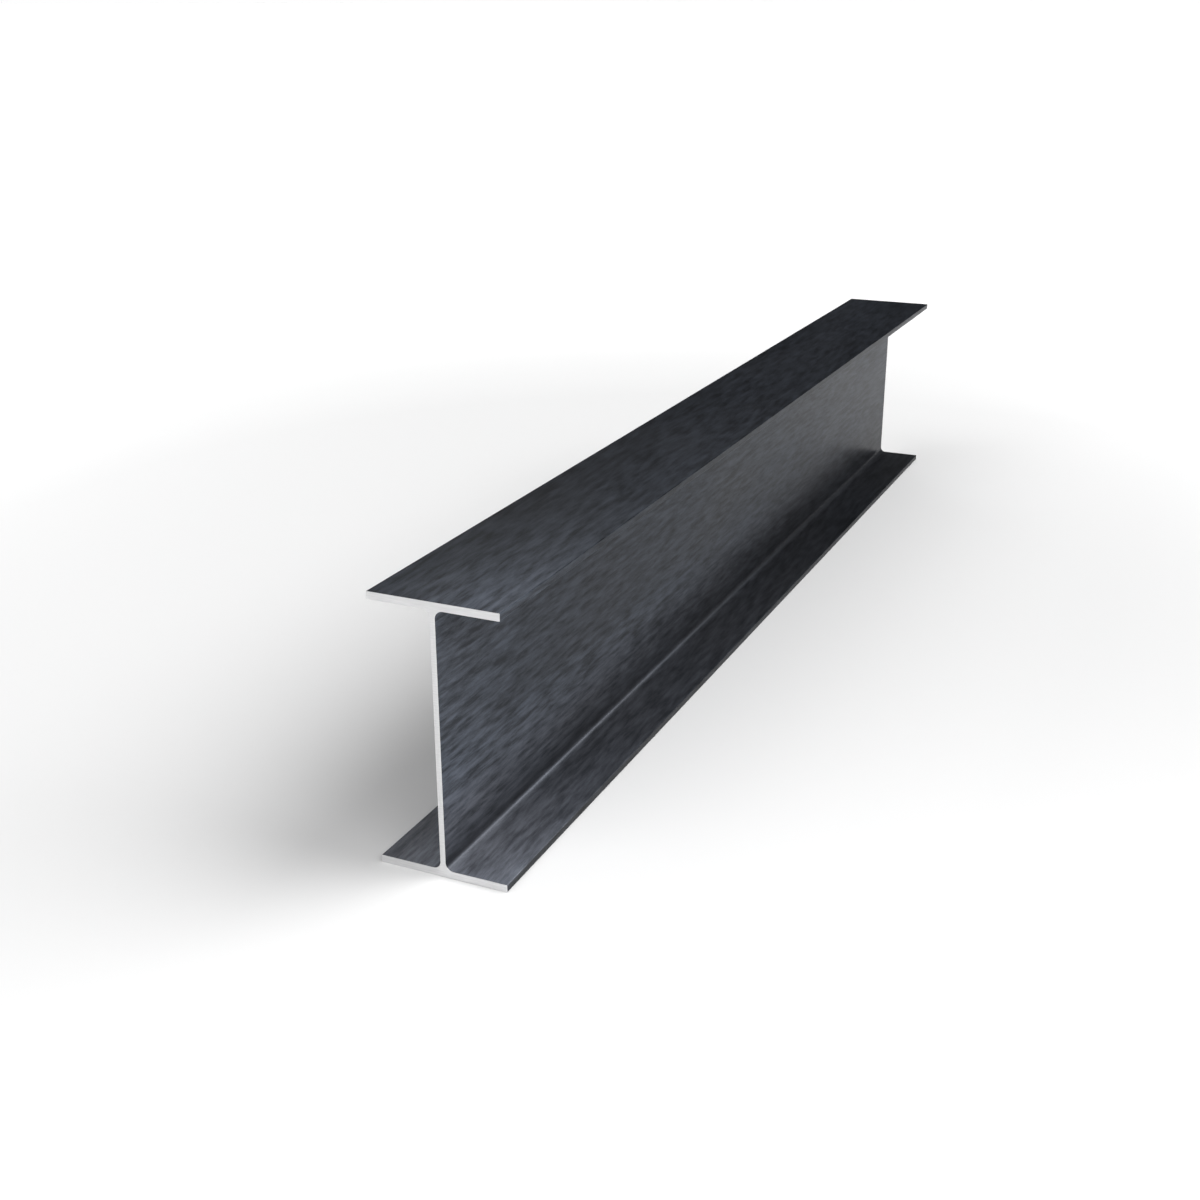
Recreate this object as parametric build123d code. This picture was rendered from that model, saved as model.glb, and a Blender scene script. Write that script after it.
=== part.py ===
from build123d import *

import os

# Steel I-beam: one cut length of hot-rolled section with parallel flanges, sawn square at both ends.
# Millimetres. X runs along the beam, Y across the flanges and Z up the web. The origin is under the
# middle of the bottom flange, which the beam stands on.

# Rolled section
section_depth = 351.4
flange_width = 171.1
flange_thickness = 9.7
web_thickness = 7.0
root_radius = 10.2
toe_radius = 1.0

# Cut length
beam_length = 2000.0


def rolled_section():
    """Return the I outline, centred: two flanges on a web, with round roots and just broken toes."""
    flange_lift = (section_depth - flange_thickness) / 2
    outline = Rectangle(web_thickness, section_depth)
    for side in (-1, 1):
        outline += Pos(0, side * flange_lift) * Rectangle(flange_width, flange_thickness)

    # The corners stand in four columns, from one flange tip across the web to the other.
    left_toes, left_roots, right_roots, right_toes = outline.vertices().group_by(Axis.X)
    outline = fillet(left_roots + right_roots, root_radius)

    # The rounding has replaced the root corners, so the toes are picked afresh.
    columns = outline.vertices().group_by(Axis.X)
    return fillet(columns[0] + columns[-1], toe_radius)


def rolled_beam():
    """Return the beam: the section stood on the floor and carried from one sawn end to the other."""
    near_end = Plane.YZ.offset(-beam_length / 2)
    standing_section = near_end * Pos(0, section_depth / 2) * rolled_section()
    return extrude(standing_section, beam_length)


beam = rolled_beam()
beam.label = "steel_i_beam"

os.makedirs("parts", exist_ok=True)
export_step(beam, f"parts/{beam.label}.step")
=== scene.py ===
"""The looks of the steel I-beam: rolled faces in dark mill scale, pale sawn ends, on a white studio floor.

Lengths are in metres, angles in degrees and the camera's lens in millimetres.
"""

import logging
import math
from dataclasses import dataclass
from enum import Enum

import bmesh
import bpy
from mathutils import Matrix, Vector


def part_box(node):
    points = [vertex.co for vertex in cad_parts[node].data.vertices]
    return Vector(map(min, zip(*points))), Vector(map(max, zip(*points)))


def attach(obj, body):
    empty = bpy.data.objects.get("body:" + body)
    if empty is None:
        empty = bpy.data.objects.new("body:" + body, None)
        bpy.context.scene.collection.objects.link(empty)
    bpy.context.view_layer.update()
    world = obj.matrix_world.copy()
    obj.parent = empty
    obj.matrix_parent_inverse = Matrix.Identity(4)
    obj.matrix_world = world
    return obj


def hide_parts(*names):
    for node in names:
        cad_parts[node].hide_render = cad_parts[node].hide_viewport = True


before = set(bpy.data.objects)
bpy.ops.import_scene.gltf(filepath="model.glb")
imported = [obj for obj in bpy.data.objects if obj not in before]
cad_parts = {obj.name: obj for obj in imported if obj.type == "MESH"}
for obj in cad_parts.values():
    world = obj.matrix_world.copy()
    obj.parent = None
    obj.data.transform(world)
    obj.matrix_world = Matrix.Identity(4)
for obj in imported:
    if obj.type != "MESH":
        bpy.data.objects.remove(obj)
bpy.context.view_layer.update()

log = logging.getLogger("steel_i_beam")

Colour = tuple[float, float, float]
Triple = tuple[float, float, float]
Span = tuple[float, float]
Stop = tuple[float, Colour]


class Face(Enum):
    """The kinds of surface on the beam, each with the number of its material slot."""

    ROLLED = 0
    SAWN = 1


def opaque(colour: Colour) -> tuple[float, float, float, float]:
    """Return a colour with full alpha, as Blender's sockets take it."""
    return (*colour, 1.0)


@dataclass(frozen=True)
class Grain:
    """One noise pattern: the size of its grains along each axis, and how they are broken up."""

    size: Triple
    detail: float = 2.0
    roughness: float = 0.5
    swirl: float = 0.0
    shift: Triple = (0.0, 0.0, 0.0)


class NodeSheet:
    """The node tree of one material or world, with short ways to add nodes and wire them."""

    def __init__(self, tree: bpy.types.NodeTree) -> None:
        """Start from an empty tree."""
        self.tree = tree
        tree.nodes.clear()

    def add(self, kind: str, inputs: dict | None = None, **settings: object) -> bpy.types.Node:
        """Add one node and wire its inputs.

        Args:
            kind: Blender's name for the type of node.
            inputs: For each input, by name or number, the output to link to it or the value to set.
            settings: The node's own options.

        Returns:
            The new node.
        """
        node = self.tree.nodes.new(kind)
        for option, value in settings.items():
            setattr(node, option, value)
        for key, value in (inputs or {}).items():
            if isinstance(value, bpy.types.NodeSocket):
                self.tree.links.new(value, node.inputs[key])
            else:
                node.inputs[key].default_value = value
        return node

    def maths(self, operation: str, *values: object) -> bpy.types.NodeSocket:
        """Add a Math node.

        Args:
            operation: The sum to do, by Blender's name.
            values: Its inputs in order, each an output to link or a number.

        Returns:
            The result.
        """
        inputs = dict(enumerate(values))
        return self.add("ShaderNodeMath", inputs, operation=operation).outputs["Value"]

    def spread(self, value: bpy.types.NodeSocket, start: Span, end: Span) -> bpy.types.NodeSocket:
        """Map a number from one range to another, held at the ends.

        Args:
            value: The output to read.
            start: The range that it has.
            end: The range that it gets.

        Returns:
            The mapped number.
        """
        inputs = {
            "Value": value,
            "From Min": start[0],
            "From Max": start[1],
            "To Min": end[0],
            "To Max": end[1],
        }
        return self.add("ShaderNodeMapRange", inputs).outputs["Result"]

    def noise(self, place: bpy.types.NodeSocket, grain: Grain) -> bpy.types.NodeSocket:
        """Add a noise pattern.

        Args:
            place: The coordinates to read.
            grain: The pattern's grains.

        Returns:
            The pattern, from 0 to 1.
        """
        grains_a_metre = tuple(1 / size for size in grain.size)
        stretch = {"Vector": place, "Location": grain.shift, "Scale": grains_a_metre}
        inputs = {
            "Vector": self.add("ShaderNodeMapping", stretch).outputs["Vector"],
            "Scale": 1.0,
            "Detail": grain.detail,
            "Roughness": grain.roughness,
            "Distortion": grain.swirl,
        }
        return self.add("ShaderNodeTexNoise", inputs, noise_dimensions="3D").outputs["Fac"]

    def mix(
        self,
        factor: object,
        first: object,
        second: object,
        blend: str = "MIX",
    ) -> bpy.types.NodeSocket:
        """Mix two colours.

        Args:
            factor: The share of the second, an output or a number.
            first: The first colour.
            second: The second colour.
            blend: Blender's name for the way to mix.

        Returns:
            The mixed colour.
        """
        # Blender's Mix node has its two colours at inputs 6 and 7, and the mixed one at output 2.
        inputs = {"Factor": factor, 6: first, 7: second}
        node = self.add("ShaderNodeMix", inputs, data_type="RGBA", blend_type=blend)
        return node.outputs[2]

    def ramp(self, factor: bpy.types.NodeSocket, stops: list[Stop]) -> bpy.types.NodeSocket:
        """Add a colour ramp.

        Args:
            factor: The number to read.
            stops: Where each stop is, from 0 to 1 and from the lowest up, with its colour.

        Returns:
            The colour.
        """
        node = self.add("ShaderNodeValToRGB", {"Fac": factor})
        elements = node.color_ramp.elements
        while len(elements) < len(stops):
            elements.new(1.0)
        for element, (position, colour) in zip(elements, stops):
            element.position = position
            element.color = opaque(colour)
        return node.outputs["Color"]

    def bump(self, pattern: bpy.types.NodeSocket, height: float) -> bpy.types.NodeSocket:
        """Raise a pattern as fine relief.

        Args:
            pattern: The pattern, from 0 to 1.
            height: How high it stands.

        Returns:
            The normal.
        """
        inputs = {"Height": pattern, "Distance": height, "Strength": 1.0}
        return self.add("ShaderNodeBump", inputs).outputs["Normal"]


@dataclass(frozen=True)
class HeightChange:
    """How the scale changes at one height: how much painted light lightens it along the beam and at its
    near end, and how calm it is.
    """

    height: float
    along: float
    end: float
    calm: float


@dataclass(frozen=True)
class MillScale:
    """The dark blue-grey oxide of hot rolling: fine brushed streaks along the beam over faint patches,
    with painted light towards the near end and along the bottom root, and painted shade at the flange
    tips.
    """

    dark: Colour = (0.0125, 0.0138, 0.0171)
    light: Colour = (0.0493, 0.0542, 0.0669)
    blue: Colour = (0.985, 1.005, 1.015)
    grey: Colour = (1.01, 1.005, 0.99)
    low_tint: Colour = (1.05, 1.01, 0.95)
    high_tint: Colour = (0.98, 1.01, 1.03)
    tint_heights: Span = (0.06, 0.13)
    bare: float = 0.6
    roughness: Span = (0.29, 0.34)
    streaks: Grain = Grain((0.050, 0.0078, 0.0070), detail=4.0, roughness=0.62)
    patches: Grain = Grain((0.40, 0.14, 0.14), swirl=0.6)
    hues: Grain = Grain((0.40, 0.14, 0.14), shift=(7.0, 3.0, 5.0))
    specks: Grain = Grain((0.0016, 0.0016, 0.0016), roughness=0.6)
    speck_height: float = 0.00004
    streak_share: float = 0.76
    patch_share: float = 0.12
    speck_share: float = 0.12
    mottle_span: Span = (0.37, 0.63)
    patch_span: Span = (0.35, 0.65)
    flange_tilt: float = -1.5
    web_tilt: float = 1.0
    # Painted light: how far the lightening reaches from the near end, how far its stronger end part
    # reaches, and how much more the right side gets than the left.
    painted_light_reach: float = 1.45
    painted_end_reach: float = 0.40
    painted_side_light: float = 0.42
    # Painted shade: the flange tips are darker over their outermost width.
    painted_tip_shade: float = 0.60
    tip_width: float = 0.0012
    change_top: float = 0.16
    # Painted light by height: the bottom flange lighter at the near end, a painted highlight along the
    # bottom root, painted shade in the hollow above it, the web lighter low and in the middle, and the
    # upper web and top lighter at the near end. The last column is how calm the streaks are.
    changes: tuple[HeightChange, ...] = (
        HeightChange(0.0085, along=0.00, end=0.14, calm=0.0),
        HeightChange(0.0095, along=1.56, end=3.20, calm=0.3),
        HeightChange(0.0107, along=1.56, end=3.20, calm=0.3),
        HeightChange(0.0115, along=2.34, end=0.00, calm=0.8),
        HeightChange(0.0130, along=2.34, end=0.00, calm=0.8),
        HeightChange(0.0141, along=1.60, end=0.00, calm=0.8),
        HeightChange(0.0150, along=1.00, end=0.00, calm=0.7),
        HeightChange(0.0158, along=0.30, end=0.00, calm=0.6),
        HeightChange(0.0215, along=0.25, end=0.00, calm=0.4),
        HeightChange(0.0260, along=0.90, end=0.00, calm=0.2),
        HeightChange(0.0600, along=2.00, end=0.00, calm=0.0),
        HeightChange(0.1000, along=1.43, end=0.28, calm=0.0),
        HeightChange(0.1600, along=0.10, end=0.98, calm=0.0),
    )

    def material(self, near_end: float, flange_reach: float) -> bpy.types.Material:
        """Make the mill scale, with its painted light and shade.

        Args:
            near_end: Where the beam's near end is, along its length.
            flange_reach: How far the flange tips are from the middle of the web.

        Returns:
            The material.
        """
        material = bpy.data.materials.new("mill_scale_painted_light")
        material.use_nodes = True
        sheet = NodeSheet(material.node_tree)
        place = sheet.add("ShaderNodeTexCoord").outputs["Object"]
        axes = sheet.add("ShaderNodeSeparateXYZ", {"Vector": place}).outputs

        # Streaks and patches lie nearly along the beam, tilted a little in the web and the flanges.
        tilt = (0.0, math.radians(-self.web_tilt), math.radians(self.flange_tilt))
        turned = sheet.add("ShaderNodeMapping", {"Vector": place, "Rotation": tilt}).outputs["Vector"]
        patches = sheet.noise(turned, self.patches)
        specks = sheet.noise(place, self.specks)

        changes = self._changes_by_height(sheet, axes["Z"])
        tone = self._tone(sheet, sheet.noise(turned, self.streaks), patches, specks, changes["Blue"])
        scale = sheet.mix(tone, opaque(self.dark), opaque(self.light))
        tint = self._tint(sheet, sheet.noise(turned, self.hues), axes["Z"])
        scale = sheet.mix(1.0, scale, tint, "MULTIPLY")
        # Painted light and shade: the scale is made lighter towards the near end and on the right, by
        # height, and darker at the flange tips.
        painted_gain = self._painted_light(sheet, axes, changes, near_end, flange_reach)
        painted_scale = sheet.add("ShaderNodeVectorMath", {0: scale, "Scale": painted_gain}, operation="SCALE")

        shader = sheet.add(
            "ShaderNodeBsdfPrincipled",
            {
                "Base Color": painted_scale.outputs["Vector"],
                "Roughness": sheet.spread(patches, self.patch_span, self.roughness),
                "Metallic": self.bare,
                "Specular IOR Level": 0.0,
                "Normal": sheet.bump(specks, self.speck_height),
            },
        )
        sheet.add("ShaderNodeOutputMaterial", {"Surface": shader.outputs["BSDF"]})
        return material

    def _changes_by_height(
        self,
        sheet: NodeSheet,
        height: bpy.types.NodeSocket,
    ) -> bpy.types.bpy_prop_collection:
        """Read how the scale changes with the height.

        Args:
            sheet: The nodes to add to.
            height: The height above the underside of the beam.

        Returns:
            The outputs Red, how much painted light lightens it along the beam, Green, how much more at its
            near end, and Blue, how calm it is.
        """
        stops = [
            (change.height / self.change_top, (change.along, change.end, change.calm))
            for change in self.changes
        ]
        read = sheet.ramp(sheet.maths("DIVIDE", height, self.change_top), stops)
        return sheet.add("ShaderNodeSeparateColor", {"Color": read}).outputs

    def _tone(
        self,
        sheet: NodeSheet,
        streaks: bpy.types.NodeSocket,
        patches: bpy.types.NodeSocket,
        specks: bpy.types.NodeSocket,
        calm: bpy.types.NodeSocket,
    ) -> bpy.types.NodeSocket:
        """Mix the patterns into one tone, mostly streaks, with less contrast where the scale is calm.

        Args:
            sheet: The nodes to add to.
            streaks: The pattern of streaks.
            patches: The pattern of patches.
            specks: The pattern of specks.
            calm: How calm the tone is, from 0 to 1.

        Returns:
            The tone, about 0 where the scale is dark and 1 where it is light.
        """
        mottled = sheet.maths("MULTIPLY", streaks, self.streak_share)
        mottled = sheet.maths("MULTIPLY_ADD", patches, self.patch_share, mottled)
        mottled = sheet.maths("MULTIPLY_ADD", specks, self.speck_share, mottled)
        tone = sheet.spread(mottled, self.mottle_span, (-0.5, 0.5))
        return sheet.maths("MULTIPLY_ADD", tone, sheet.maths("SUBTRACT", 1.0, calm), 0.5)

    def _tint(
        self,
        sheet: NodeSheet,
        hues: bpy.types.NodeSocket,
        height: bpy.types.NodeSocket,
    ) -> bpy.types.NodeSocket:
        """Tint the scale from grey to blue, from patch to patch and from low on the beam to high.

        Args:
            sheet: The nodes to add to.
            hues: The pattern of the patches.
            height: The height above the underside of the beam.

        Returns:
            The tint.
        """
        share = sheet.spread(hues, self.patch_span, (0.0, 1.0))
        by_patch = sheet.mix(share, opaque(self.grey), opaque(self.blue))
        rise = sheet.spread(height, self.tint_heights, (0.0, 1.0))
        by_height = sheet.mix(rise, opaque(self.low_tint), opaque(self.high_tint))
        return sheet.mix(1.0, by_patch, by_height, "MULTIPLY")

    def _painted_light(
        self,
        sheet: NodeSheet,
        axes: bpy.types.bpy_prop_collection,
        changes: bpy.types.bpy_prop_collection,
        near_end: float,
        flange_reach: float,
    ) -> bpy.types.NodeSocket:
        """Paint light on the scale towards the near end, more so on the right, and paint shade on the
        flange tips.

        Args:
            sheet: The nodes to add to.
            axes: The outputs X, Y and Z of the place.
            changes: The outputs of the changes by height.
            near_end: Where the beam's near end is, along its length.
            flange_reach: How far the flange tips are from the middle of the web.

        Returns:
            How many times lighter the painted light and shade make it.
        """
        # Painted light: lighter over the first stretch of the beam, and more so right at the near end, by
        # as much as each height gets.
        along = sheet.spread(axes["X"], (near_end, near_end + self.painted_light_reach), (1.0, 0.0))
        end = sheet.spread(axes["X"], (near_end, near_end + self.painted_end_reach), (1.0, 0.0))
        painted_gain = sheet.maths("MULTIPLY_ADD", along, changes["Red"], 1.0)
        painted_gain = sheet.maths("MULTIPLY_ADD", sheet.maths("MULTIPLY", end, end), changes["Green"], painted_gain)
        # Painted light: the right side lighter than the left, fading along the beam.
        side = sheet.spread(axes["Y"], (-flange_reach, flange_reach), (self.painted_side_light, -self.painted_side_light))
        painted_gain = sheet.maths("MULTIPLY", painted_gain, sheet.maths("MULTIPLY_ADD", along, side, 1.0))
        # Painted shade: the flange tips are darker over their outermost width.
        reach = sheet.maths("ABSOLUTE", axes["Y"])
        tip = sheet.spread(reach, (flange_reach - self.tip_width, flange_reach), (1.0, self.painted_tip_shade))
        return sheet.maths("MULTIPLY", painted_gain, tip)


@dataclass(frozen=True)
class SawnSteel:
    """Bare steel as the saw leaves it: pale, matt, with faint marks of the blade across the beam."""

    pale: Colour = (0.81, 0.81, 0.815)
    dull: Colour = (0.73, 0.73, 0.74)
    bare: float = 0.7
    roughness: Span = (0.58, 0.48)
    marks: Grain = Grain((0.0016, 0.0016 / 0.06, 0.0016))
    mark_span: Span = (0.3, 0.7)
    mark_height: float = 0.00002

    def material(self) -> bpy.types.Material:
        """Make the finish.

        Returns:
            The material.
        """
        material = bpy.data.materials.new("sawn_steel")
        material.use_nodes = True
        sheet = NodeSheet(material.node_tree)
        place = sheet.add("ShaderNodeTexCoord").outputs["Object"]
        marks = sheet.noise(place, self.marks)
        share = sheet.spread(marks, self.mark_span, (0.0, 1.0))
        shader = sheet.add(
            "ShaderNodeBsdfPrincipled",
            {
                "Base Color": sheet.mix(share, opaque(self.dull), opaque(self.pale)),
                "Roughness": sheet.spread(marks, self.mark_span, self.roughness),
                "Metallic": self.bare,
                "Normal": sheet.bump(marks, self.mark_height),
            },
        )
        sheet.add("ShaderNodeOutputMaterial", {"Surface": shader.outputs["BSDF"]})
        return material


@dataclass
class RolledBeam:
    """The beam: one rolled I-section, parallel in its flanges, between two sawn ends.

    A face is an end, or sawn, where its normal's share along the beam is more than the facing given.
    """

    node: str = "steel_i_beam"
    slot: str = "rolled_steel"
    flange_thickness: float = 0.0097
    web_thickness: float = 0.0070
    root_radius: float = 0.0102
    toe_radius: float = 0.0010
    sawn_edge: float = 0.0003
    root_segments: int = 16
    toe_segments: int = 4
    edge_segments: int = 2
    end_facing: float = 0.5
    sawn_facing: float = 0.3
    sharp_angle: float = 50.0

    def __post_init__(self) -> None:
        """Take the outer sizes from the frame."""
        self.low, self.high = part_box(self.node)
        self.reach = self.high.y

    def build(self) -> bpy.types.Object:
        """Model the beam, dress it and put it in the frame.

        Returns:
            The finished piece.
        """
        mesh = bpy.data.meshes.new("rolled_beam")
        shape = bmesh.new()
        self._draw_section(shape)
        self._roll(shape)
        self._break_sawn_edges(shape)
        shape.to_mesh(mesh)
        shape.free()
        beam = bpy.data.objects.new("rolled_beam", mesh)
        bpy.context.scene.collection.objects.link(beam)
        self._dress(beam)
        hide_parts(self.node)
        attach(beam, "root")
        return beam

    def _draw_section(self, shape: bmesh.types.BMesh) -> None:
        """Draw the I as one face at the near end, then round its roots and toes.

        Args:
            shape: The empty mesh to draw in.
        """
        half_web = self.web_thickness / 2
        under, over = self.low.z + self.flange_thickness, self.high.z - self.flange_thickness
        right = [
            (self.reach, self.low.z),
            (self.reach, under),
            (half_web, under),
            (half_web, over),
            (self.reach, over),
            (self.reach, self.high.z),
        ]
        left = [(-y, z) for y, z in reversed(right)]
        corners = [shape.verts.new((self.low.x, y, z)) for y, z in right + left]
        shape.faces.new(corners)
        roots = [corner for corner in corners if abs(corner.co.y) < self.reach / 2]
        toes = [corner for corner in corners if abs(corner.co.y) > self.reach / 2]
        for rounded, radius, segments in (
            (roots, self.root_radius, self.root_segments),
            (toes, self.toe_radius, self.toe_segments),
        ):
            bmesh.ops.bevel(
                shape,
                geom=rounded,
                offset=radius,
                offset_type="OFFSET",
                segments=segments,
                profile=0.5,
                affect="VERTICES",
                material=-1,
            )

    def _roll(self, shape: bmesh.types.BMesh) -> None:
        """Carry the section to the far end.

        Args:
            shape: The mesh with the section in it.
        """
        rolled = bmesh.ops.extrude_face_region(shape, geom=shape.faces[:], use_keep_orig=True)
        far_end = [item for item in rolled["geom"] if isinstance(item, bmesh.types.BMVert)]
        bmesh.ops.translate(shape, verts=far_end, vec=(self.high.x - self.low.x, 0.0, 0.0))
        bmesh.ops.recalc_face_normals(shape, faces=shape.faces[:])

    def _break_sawn_edges(self, shape: bmesh.types.BMesh) -> None:
        """Break the sharp edge round each sawn end, and mark the sawn faces.

        Args:
            shape: The mesh of the whole beam.
        """
        ends = [face for face in shape.faces if abs(face.normal.x) > self.end_facing]
        rims = [edge for face in ends for edge in face.edges]
        bmesh.ops.bevel(
            shape,
            geom=rims,
            offset=self.sawn_edge,
            offset_type="OFFSET",
            segments=self.edge_segments,
            profile=0.5,
            affect="EDGES",
            material=-1,
        )
        for face in shape.faces:
            is_sawn = abs(face.normal.x) > self.sawn_facing
            face.material_index = Face.SAWN.value if is_sawn else Face.ROLLED.value
            face.smooth = True

    def _dress(self, beam: bpy.types.Object) -> None:
        """Give the beam its two finishes, and shading that keeps the flat faces flat.

        Args:
            beam: The modelled beam.
        """
        beam.data.materials.append(MillScale().material(self.low.x, self.reach))
        beam.data.materials.append(SawnSteel().material())
        beam.data.set_sharp_from_angle(angle=math.radians(self.sharp_angle))
        weighted = beam.modifiers.new("flat_faces", "WEIGHTED_NORMAL")
        weighted.keep_sharp = True


@dataclass(frozen=True)
class SunLamp:
    """One distant lamp, wide enough to throw soft shadows."""

    name: str
    azimuth: float
    elevation: float
    width: float
    level: float

    def hang(self) -> bpy.types.Object:
        """Hang the lamp so that a white floor gets its level as a share of full white.

        Returns:
            The lamp.
        """
        turn, climb = math.radians(self.azimuth), math.radians(self.elevation)
        flat = math.cos(climb)
        towards = Vector((flat * math.cos(turn), flat * math.sin(turn), math.sin(climb)))
        light = bpy.data.lights.new(self.name, "SUN")
        light.angle = math.radians(self.width)
        light.energy = self.level * math.pi / math.sin(climb)
        lamp = bpy.data.objects.new(self.name, light)
        lamp.rotation_euler = towards.to_track_quat("Z", "Y").to_euler()
        bpy.context.scene.collection.objects.link(lamp)
        return lamp


@dataclass(frozen=True)
class SoftBox:
    """One flat lamp that hangs face down beside the beam."""

    name: str
    place: Triple
    length: float
    width: float
    brightness: float

    def hang(self) -> bpy.types.Object:
        """Hang the lamp, out of the camera's sight.

        Returns:
            The lamp.
        """
        light = bpy.data.lights.new(self.name, "AREA")
        light.shape = "RECTANGLE"
        light.size, light.size_y = self.length, self.width
        light.energy = self.brightness * math.pi * self.length * self.width
        lamp = bpy.data.objects.new(self.name, light)
        lamp.location = self.place
        lamp.visible_camera = False
        bpy.context.scene.collection.objects.link(lamp)
        return lamp


@dataclass(frozen=True)
class SkyBand:
    """The colour of the sky at one elevation."""

    elevation: float
    colour: Colour


@dataclass(frozen=True)
class Studio:
    """The white floor, the sky round it and the lamps."""

    floor_size: float = 8000.0
    floor_drop: float = 0.0002
    floor_white: float = 0.915
    far_lift: float = 0.30
    lift_reach: Span = (1.5, 3.5)
    sky: tuple[SkyBand, ...] = (
        SkyBand(0.6, (1.0, 1.0, 1.0)),
        SkyBand(2.5, (0.012, 0.013, 0.015)),
        SkyBand(16.5, (0.012, 0.013, 0.015)),
        SkyBand(21.5, (0.08, 0.08, 0.08)),
        SkyBand(34.0, (0.08, 0.08, 0.08)),
        SkyBand(48.0, (0.085, 0.085, 0.085)),
    )
    lamps: tuple[SunLamp | SoftBox, ...] = (
        SunLamp("right_sun", azimuth=-60.0, elevation=45.0, width=50.0, level=0.53),
        SunLamp("front_left_sun", azimuth=160.0, elevation=45.0, width=45.0, level=0.18),
        SoftBox("front_right_box", (-2.0, -1.2, 1.4), length=1.6, width=1.6, brightness=2.8),
        SoftBox("back_right_box", (2.0, -1.6, 1.4), length=1.6, width=0.8, brightness=3.6),
        SoftBox("back_left_box", (3.3, 2.0, 2.85), length=1.0, width=2.0, brightness=3.2),
        SoftBox("left_box", (-0.8, 2.6, 1.8), length=3.0, width=1.0, brightness=1.75),
    )

    def build(self) -> None:
        """Set up everything round the beam."""
        self._lay_floor()
        self._light_sky()
        for lamp in self.lamps:
            lamp.hang()
            log.info("lamp %s", lamp.name)

    def _lay_floor(self) -> None:
        """Lay the floor, white to the camera and in reflections, and in shadow under the beam."""
        shape = bmesh.new()
        bmesh.ops.create_grid(shape, x_segments=1, y_segments=1, size=self.floor_size / 2)
        bmesh.ops.translate(shape, verts=shape.verts[:], vec=(0.0, 0.0, -self.floor_drop))
        mesh = bpy.data.meshes.new("floor")
        shape.to_mesh(mesh)
        shape.free()
        floor = bpy.data.objects.new("floor", mesh)
        bpy.context.scene.collection.objects.link(floor)
        floor.data.materials.append(self._floor_paint())

    def _floor_paint(self) -> bpy.types.Material:
        """Make the floor's white, which glows a little to the camera and in reflections far from the beam.

        Returns:
            The material.
        """
        material = bpy.data.materials.new("white_floor")
        material.use_nodes = True
        sheet = NodeSheet(material.node_tree)
        white = opaque((self.floor_white,) * 3)
        paint = sheet.add("ShaderNodeBsdfDiffuse", {"Color": white}).outputs["BSDF"]
        path = sheet.add("ShaderNodeLightPath").outputs
        seen = sheet.maths("ADD", path["Is Camera Ray"], path["Is Glossy Ray"])
        seen = sheet.maths("ADD", seen, path["Is Transmission Ray"])
        place = sheet.add("ShaderNodeTexCoord").outputs["Object"]
        reach = sheet.add("ShaderNodeVectorMath", {0: place}, operation="LENGTH").outputs["Value"]
        lift = sheet.maths("MULTIPLY", seen, sheet.spread(reach, self.lift_reach, (0.0, self.far_lift)))
        glow = sheet.add("ShaderNodeEmission", {"Strength": lift}).outputs["Emission"]
        both = sheet.add("ShaderNodeAddShader", {0: paint, 1: glow}).outputs["Shader"]
        sheet.add("ShaderNodeOutputMaterial", {"Surface": both})
        return material

    def _light_sky(self) -> None:
        """Light the sky, the same all round: a low white backdrop, a dim band and a soft glow above."""
        world = bpy.data.worlds.new("studio_sky")
        world.use_nodes = True
        sheet = NodeSheet(world.node_tree)
        direction = sheet.add("ShaderNodeTexCoord").outputs["Generated"]
        height = sheet.add("ShaderNodeSeparateXYZ", {"Vector": direction}).outputs["Z"]
        stops = [(math.sin(math.radians(band.elevation)), band.colour) for band in self.sky]
        sky = sheet.add("ShaderNodeBackground", {"Color": sheet.ramp(height, stops), "Strength": 1.0})
        sheet.add("ShaderNodeOutputWorld", {"Surface": sky.outputs["Background"]})
        bpy.context.scene.world = world


@dataclass(frozen=True)
class StudioCamera:
    """The camera, at the photograph's viewing angle."""

    eye: Triple = (-2.374, -0.830, 0.973)
    azimuth: float = 24.436
    pitch: float = -21.239
    roll: float = -0.158
    lens: float = 46.295

    def set_up(self) -> bpy.types.Object:
        """Put the camera in the scene and make it the one that renders.

        Returns:
            The camera.
        """
        data = bpy.data.cameras.new("camera")
        data.lens = self.lens
        camera = bpy.data.objects.new("camera", data)
        turn = Matrix.Rotation(math.radians(self.azimuth - 90.0), 4, "Z")
        tip = Matrix.Rotation(math.radians(90.0 + self.pitch), 4, "X")
        lean = Matrix.Rotation(math.radians(self.roll), 4, "Z")
        camera.matrix_world = Matrix.Translation(self.eye) @ turn @ tip @ lean
        bpy.context.scene.collection.objects.link(camera)
        bpy.context.scene.camera = camera
        return camera


def note_sizes() -> None:
    """Bring the scene's placements up to date."""
    bpy.context.view_layer.update()


def main() -> None:
    """Build the beam, the studio and the camera, in that order."""
    logging.basicConfig(level=logging.INFO, format="%(name)s: %(message)s")
    bpy.context.scene.view_settings.view_transform = "Standard"
    beam = RolledBeam().build()
    log.info("piece %s, %d faces", beam.name, len(beam.data.polygons))
    Studio().build()
    camera = StudioCamera().set_up()
    log.info("camera %s", camera.name)
    note_sizes()


if __name__ == "__main__":
    main()
